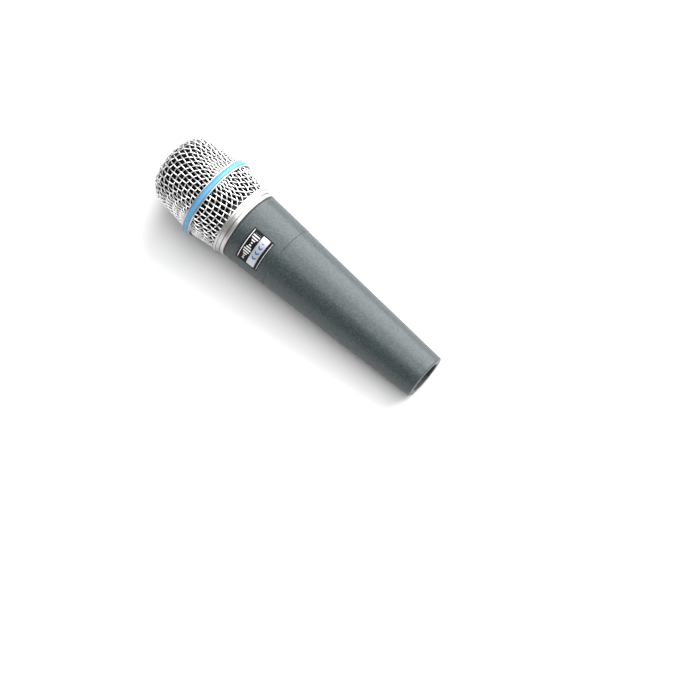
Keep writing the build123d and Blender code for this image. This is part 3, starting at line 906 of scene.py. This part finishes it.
def wire_object(
    name: str,
    runs: list[list[Vector]],
    radius: float,
    placement: Matrix,
    liner: Outline,
) -> bpy.types.Object:
    """Make a mesh of round wires.

    Args:
        name: The piece's name.
        runs: The points that each wire's curve follows, in millimetres.
        radius: The wire's radius, in millimetres.
        placement: From millimetres to the part's frame.
        liner: The outline of the liner under the wires.

    Returns:
        The piece, with its place in its mesh.
    """
    curve = bpy.data.curves.new(name, "CURVE")
    curve.dimensions = "3D"
    curve.bevel_depth = radius
    curve.bevel_resolution = 2
    curve.use_fill_caps = True
    for points in runs:
        spline = curve.splines.new("NURBS")
        spline.points.add(len(points) - 1)
        for point, place in zip(spline.points, points):
            point.co = (*place, 1.0)
        spline.order_u = 4
        spline.use_endpoint_u = True
        spline.resolution_u = 2
    drawing = linked(f"{name}_curve", curve)
    bpy.context.view_layer.update()
    mesh = bpy.data.meshes.new_from_object(drawing)
    note_height(mesh, liner)
    mesh.transform(placement)
    mesh.polygons.foreach_set("use_smooth", [True] * len(mesh.polygons))
    bpy.data.objects.remove(drawing)
    return linked(name, mesh)


def turned_shell(
    name: str, outline: Outline, placement: Matrix, steps: int
) -> bpy.types.Object:
    """Spin an open outline about the axis into a sheet.

    Args:
        name: The piece's name.
        outline: The sheet's section.
        placement: From millimetres to the part's frame.
        steps: Faces round the axis.

    Returns:
        The sheet, facing outwards.
    """
    mesh = bmesh.new()
    corners = [mesh.verts.new((radius, 0.0, station)) for radius, station in outline]
    edges = [mesh.edges.new(pair) for pair in zip(corners, corners[1:])]
    bmesh.ops.spin(
        mesh,
        geom=corners + edges,
        cent=(0, 0, 0),
        axis=(0, 0, 1),
        angle=2 * pi,
        steps=steps,
        use_merge=True,
    )
    bmesh.ops.remove_doubles(mesh, verts=mesh.verts[:], dist=1e-4)
    bmesh.ops.recalc_face_normals(mesh, faces=mesh.faces[:])
    outwards = sum(f.normal.dot(Vector((*f.calc_center_median().xy, 0.0))) for f in mesh.faces)
    if outwards < 0:
        bmesh.ops.reverse_faces(mesh, faces=mesh.faces[:])
    bmesh.ops.transform(mesh, matrix=placement, verts=mesh.verts[:])
    data = bpy.data.meshes.new(name)
    mesh.to_mesh(data)
    mesh.free()
    data.polygons.foreach_set("use_smooth", [True] * len(data.polygons))
    return linked(name, data)


# ---- sub-assemblies


@dataclass
class Grille:
    """The two woven baskets with their foam, either side of the coloured band.

    The shoulder is where the front basket's dome begins. Reaches and the shoulder's station
    are measured from the band, and depths from the baskets' outside.
    """

    axis: MicAxis
    band_station: float = 21.2
    band_wall_radius: float = 20.8
    nose_reach: float = 29.5
    shoulder_station: float = 16.2
    shoulder_radius: float = 18.85
    collar_station: float = 4.9
    collar_wall_radius: float = 18.6
    squareness: float = 2.74
    edge: float = 0.6
    pitch: float = 2.85
    wire_radius: float = 0.345
    front_stretch: float = 0.56
    rear_stretch: float = 0.46
    wall_depth: float = 0.75
    front_aligned: float = 29.0
    rear_aligned: float = 40.0
    cup_rounding: float = 3.0
    foam_depth: float = 2.2
    foam_thickness: float = 1.8
    foam_to_band: float = 2.7
    foam_to_collar: float = 3.6
    dome_steps: int = 36
    round_steps: int = 96

    def dome(self, depth: float) -> list[tuple[float, float]]:
        """The front basket's outline at a depth below its outside, from nose to band."""
        radius = self.shoulder_radius - depth
        height = self.nose_reach - depth - self.shoulder_station
        outline = []
        for step in range(self.dome_steps + 1):
            angle = pi / 2 * (1 - step / self.dome_steps)
            across = radius * max(cos(angle), 0.0) ** (2 / self.squareness)
            along = height * sin(angle) ** (2 / self.squareness)
            outline.append((across, self.band_station + self.shoulder_station + along))
        outline[0] = (0.0, self.band_station + self.nose_reach - depth)
        outline.append((self.band_wall_radius - depth, self.band_station + self.edge))
        return outline

    def cone(self, depth: float) -> list[tuple[float, float]]:
        """The rear basket's outline at a depth below its outside, from collar to band."""
        return [
            (self.collar_wall_radius - depth, self.collar_station),
            (self.band_wall_radius - depth, self.band_station - self.edge),
        ]

    def weave(
        self,
        name: str,
        wall: BasketWall,
        stretch: float,
        aligned: float,
        start: float,
        liner: Outline,
    ) -> bpy.types.Object:
        """Wire cloth over a wall.

        Args:
            name: The piece's name.
            wall: The wall that the cloth is formed over.
            stretch: How far its crossings keep to the flat cloth, from 0 to 1.
            aligned: The azimuth of its first wire, in degrees.
            start: Where on the wall the cloth is cut, in millimetres.
            liner: The outline of the liner under it.

        Returns:
            The woven piece.
        """
        span = int(wall.reach / self.pitch) + 3
        sheet = FormedSheet(wall, self.pitch, span, stretch)
        cloth = WovenCloth(wall, self.wire_radius, radians(aligned), sheet.crossing, span, start)
        return wire_object(name, cloth.wires(), self.wire_radius, self.axis.placement(), liner)

    def front_basket(self) -> bpy.types.Object:
        """The domed basket of woven wire."""
        wall = BasketWall(self.dome(self.wall_depth))
        liner = self.dome(self.foam_depth)
        return self.weave(
            "front_basket_weave", wall, self.front_stretch, self.front_aligned, 0.0, liner
        )

    def rear_basket(self) -> bpy.types.Object:
        """The tapered basket of woven wire, the wall of a cup whose floor was cut out."""
        low, high = self.cone(self.wall_depth)
        rounding = self.cup_rounding
        floor_station = low[1] - rounding
        corner = (low[0] - rounding * 0.3, floor_station + rounding * 0.3)
        floor_edge = (low[0] - rounding, floor_station)
        cup = BasketWall([(0.0, floor_station), floor_edge, corner, low, high])
        liner = self.cone(self.foam_depth)
        rim = cup.lengths[3]
        return self.weave(
            "rear_basket_weave", cup, self.rear_stretch, self.rear_aligned, rim, liner
        )

    def foam(self, name: str, outline: Outline) -> bpy.types.Object:
        """A foam liner: a turned sheet given its thickness inwards.

        Args:
            name: The piece's name.
            outline: The liner's outside.

        Returns:
            The liner.
        """
        piece = turned_shell(name, outline, self.axis.placement(), self.round_steps)
        wall = piece.modifiers.new("wall", "SOLIDIFY")
        wall.thickness = self.foam_thickness * MM
        wall.offset = -1.0
        return piece

    def build(self, steel: bpy.types.Material, foam: bpy.types.Material) -> None:
        """Make the baskets and liners in place of their plain solids.

        Args:
            steel: The wire's finish.
            foam: The liners' finish.
        """
        front_outline = self.dome(self.foam_depth)
        front_outline[-1] = (front_outline[-1][0], self.band_station + self.foam_to_band)
        low, high = self.cone(self.foam_depth)
        rear_outline = [
            (low[0], low[1] + self.foam_to_collar),
            (high[0], self.band_station - self.foam_to_band),
        ]
        liners = (
            ("front_foam_liner", front_outline, "front_foam"),
            ("rear_foam_liner", rear_outline, "rear_foam"),
        )
        for name, outline, node in liners:
            liner = self.foam(name, outline)
            dress(liner, foam, "foam", "grille", node)
        dress(self.front_basket(), steel, "wire_steel", "grille", "front_mesh")
        dress(self.rear_basket(), steel, "wire_steel", "grille", "rear_mesh")


def dress(
    piece: bpy.types.Object, finish: bpy.types.Material, slot: str, body: str, *nodes: str
) -> None:
    """Give a new piece its finish, its body and the CAD nodes it stands for.

    Args:
        piece: The piece.
        finish: Its material.
        slot: The record's material slot; not used.
        body: The CAD body it moves with.
        nodes: The CAD nodes it replaces.
    """
    piece.data.materials.clear()
    piece.data.materials.append(finish)
    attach(piece, body)
    if nodes:
        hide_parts(*nodes)
    LOG.info("%s: %d faces on %s", piece.name, len(piece.data.polygons), body)


@dataclass
class CarriedNodes:
    """The CAD nodes that keep their own shape and get a finish by their record slot.

    Two of them, between the handle and its floating capsule, are shown by copies.
    """

    axis: MicAxis
    record: dict
    nodes: dict[str, bpy.types.Object]

    def finishes(self) -> dict[str, bpy.types.Material]:
        """One finish for each material slot of the record."""
        axis = self.axis
        plain = (
            ("gasket_rubber", (0.012, 0.012, 0.013), (0.02, 0.02, 0.02), 0.6, 0.0, Grain.FINE),
            ("insert_plastic", (0.02, 0.02, 0.022), (0.03, 0.03, 0.032), 0.45, 0.0, Grain.FINE),
            ("lamination", (0.35, 0.34, 0.33), (0.16, 0.15, 0.15), 0.45, 0.9, Grain.STACKED),
            ("bobbin_plastic", (0.70, 0.66, 0.56), (0.58, 0.54, 0.45), 0.5, 0.0, Grain.FINE),
            ("winding_copper", (0.72, 0.30, 0.13), (0.36, 0.13, 0.06), 0.3, 1.0, Grain.WOUND),
            ("boot_rubber", (0.022, 0.022, 0.023), (0.035, 0.035, 0.035), 0.7, 0.0, Grain.COARSE),
            ("lead_sleeve", (0.55, 0.03, 0.02), (0.38, 0.02, 0.015), 0.42, 0.0, Grain.FINE),
            ("chamber_plastic", (0.035, 0.035, 0.038), (0.05, 0.05, 0.052), 0.5, 0.0, Grain.FINE),
            ("felt", (0.30, 0.29, 0.27), (0.16, 0.155, 0.145), 0.95, 0.0, Grain.FIBRE),
            ("screen_cloth", (0.42, 0.42, 0.40), (0.10, 0.10, 0.10), 0.6, 0.3, Grain.CLOTH),
            ("board_laminate", (0.09, 0.20, 0.07), (0.06, 0.14, 0.05), 0.4, 0.0, Grain.CLOTH),
            ("diaphragm_film", (0.62, 0.60, 0.55), (0.50, 0.48, 0.44), 0.2, 0.1, Grain.FINE),
            ("mount_rubber", (0.02, 0.02, 0.021), (0.032, 0.032, 0.032), 0.65, 0.0, Grain.COARSE),
        )
        finishes = {
            name: PlainFinish(axis, name, tint, second, rough, metal, grain).build()
            for name, tint, second, rough, metal, grain in plain
        }
        metals = (
            ("contact_plate", (0.80, 0.72, 0.50), 0.22),
            ("screw_steel", (0.05, 0.05, 0.052), 0.42),
            ("tag_metal", (0.72, 0.70, 0.66), 0.34),
            ("capsule_alloy", (0.66, 0.67, 0.68), 0.34),
            ("yoke_steel", (0.56, 0.57, 0.58), 0.36),
            ("magnet_metal", (0.48, 0.48, 0.50), 0.30),
        )
        for name, tint, roughness in metals:
            finishes[name] = TurnedMetal(axis, name, tint, roughness).build()
        # painted shade: black inside the collar's seat, and darker in its groove
        finishes["satin_metal"] = TurnedMetal(
            axis, "satin_metal", (0.54, 0.535, 0.525), 0.26, painted_shade_radius=17.6, groove=(2.2, 3.0)
        ).build()
        # painted shade: black inside the carrier's inner ring
        finishes["carrier_metal"] = TurnedMetal(
            axis, "carrier_metal", (0.52, 0.52, 0.52), 0.24, painted_shade_radius=19.9
        ).build()
        finishes["handle_enamel"] = HandleEnamel(axis).build()
        finishes["wire_steel"] = WireSteel(axis).build()
        finishes["band_enamel"] = BandEnamel(axis).build()
        finishes["foam"] = FoamFinish(axis).build()
        finishes["badge_print"] = BadgePrint(axis).build()
        return finishes

    def build(self) -> dict[str, bpy.types.Material]:
        """Dress every CAD node, and hand back the finishes by slot name."""
        finishes = self.finishes()
        for part in self.record["subparts"]:
            name, slot = part["node"], part["material_slot"]
            mesh = self.nodes[name].data
            mesh.materials.clear()
            mesh.materials.append(finishes[slot])
            LOG.info("%s: %s", name, slot)
        self.build_flexing(finishes)
        return finishes

    def freed(self, node: str, name: str) -> bpy.types.Object:
        """A copy of a CAD node's mesh that rides on no body yet."""
        return linked(name, self.nodes[node].data.copy())

    def build_flexing(self, finishes: dict[str, bpy.types.Material]) -> None:
        """Show the capsule's leads by a copy on no body, and its rubber mount by a copy on the
        handle.

        Args:
            finishes: The finishes by slot name.
        """
        leads = self.freed("capsule_leads", "capsule_lead_wires")
        leads.data.materials.clear()
        leads.data.materials.append(finishes["lead_sleeve"])
        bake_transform(leads)
        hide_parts("capsule_leads")
        mount = self.freed("shock_mount", "shock_mount_rubber")
        dress(mount, finishes["mount_rubber"], "mount_rubber", "handle", "shock_mount")


# ---- studio


@dataclass
class Studio:
    """The floor, the soft lights and the camera.

    The camera looks from an azimuth and elevation in degrees, and the band's centre lies at
    a place in its view, given in metres to the right, up and back.
    """

    axis: MicAxis
    floor_half: float = 12.0
    sky_strength: float = 0.40
    lens: float = 100.0
    azimuth: float = 41.43
    elevation: float = 69.24
    band_station: float = 21.2
    band_in_view: tuple[float, float, float] = (-0.06011, 0.06879, -0.90078)

    def view_axes(self) -> Matrix:
        """The camera's right, up and back directions, as rows."""
        turn, lift = radians(self.azimuth), radians(self.elevation)
        back = Vector((sin(turn) * cos(lift), -cos(turn) * cos(lift), sin(lift)))
        right = Vector((0, 0, 1)).cross(back).normalized()
        return Matrix((right, back.cross(right), back))

    def build_camera(self) -> None:
        """Place the camera so that the band's centre has its place in the view."""
        axes = self.view_axes()
        data = bpy.data.cameras.new("camera")
        data.lens = self.lens
        data.clip_start = 0.01
        camera = linked("camera", data)
        centre = self.axis.at(self.band_station)
        location = centre - axes.transposed() @ Vector(self.band_in_view)
        camera.matrix_world = Matrix.Translation(location) @ axes.transposed().to_4x4()
        bpy.context.scene.camera = camera

    def build_floor(self) -> None:
        """A wide pale floor under the microphone."""
        mesh = bmesh.new()
        bmesh.ops.create_grid(mesh, x_segments=1, y_segments=1, size=self.floor_half)
        data = bpy.data.meshes.new("floor")
        mesh.to_mesh(data)
        mesh.free()
        floor = linked("floor", data)
        nodes = Nodes("floor_paper")
        grain = nodes.noise(nodes.place(), 60.0, 3.0)
        tone = nodes.mix(grain, (0.66, 0.66, 0.66), (0.70, 0.70, 0.70))
        data.materials.append(nodes.surface(Base_Color=tone, Roughness=0.8))

    def add_light(self, name: str, place: Vector, size: float, watts: float) -> None:
        """One square soft light, aimed at the microphone.

        Args:
            name: The light's name.
            place: Where it hangs, in metres.
            size: The length of its sides, in metres.
            watts: Its power.
        """
        data = bpy.data.lights.new(name, "AREA")
        data.shape = "SQUARE"
        data.size = size
        data.energy = watts
        light = linked(name, data)
        turn = (self.axis.at(0.0) - place).to_track_quat("-Z", "Y")
        light.matrix_world = Matrix.Translation(place) @ turn.to_matrix().to_4x4()

    def build_lights(self) -> None:
        """A bright soft light from behind the handle, three weaker ones and an even sky."""
        right, up, back = self.view_axes()
        lights = (
            ("key", Vector((0.25, 2.75, 1.75)), 3.5, 256.0),
            ("top", up * 0.35 + right * 0.3 + back * 1.2, 1.3, 18.5),
            ("fill", Vector((-0.9, -0.5, 0.9)), 1.0, 0.8),
            ("ceiling", Vector((0.0, 0.0, 2.0)), 3.0, 14.0),
        )
        for name, offset, size, watts in lights:
            self.add_light(name, self.axis.at(0.0) + offset, size, watts)
        world = bpy.data.worlds.new("sky")
        world.use_nodes = True
        backdrop = world.node_tree.nodes["Background"]
        backdrop.inputs["Color"].default_value = (1.0, 1.0, 1.0, 1.0)
        backdrop.inputs["Strength"].default_value = self.sky_strength
        bpy.context.scene.world = world

    def build(self) -> None:
        """Make the whole studio."""
        self.build_camera()
        self.build_floor()
        self.build_lights()
        bpy.context.scene.view_settings.view_transform = "Standard"


def main() -> None:
    """Build the visual model round the frame."""
    logging.basicConfig(level=logging.INFO, format="%(message)s")
    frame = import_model()
    axis = MicAxis.from_frame(frame)
    Studio(axis).build()
    finishes = CarriedNodes(axis, frame["record"], frame["nodes"]).build()
    Grille(axis).build(finishes["wire_steel"], finishes["foam"])


if __name__ == "__main__":
    main()
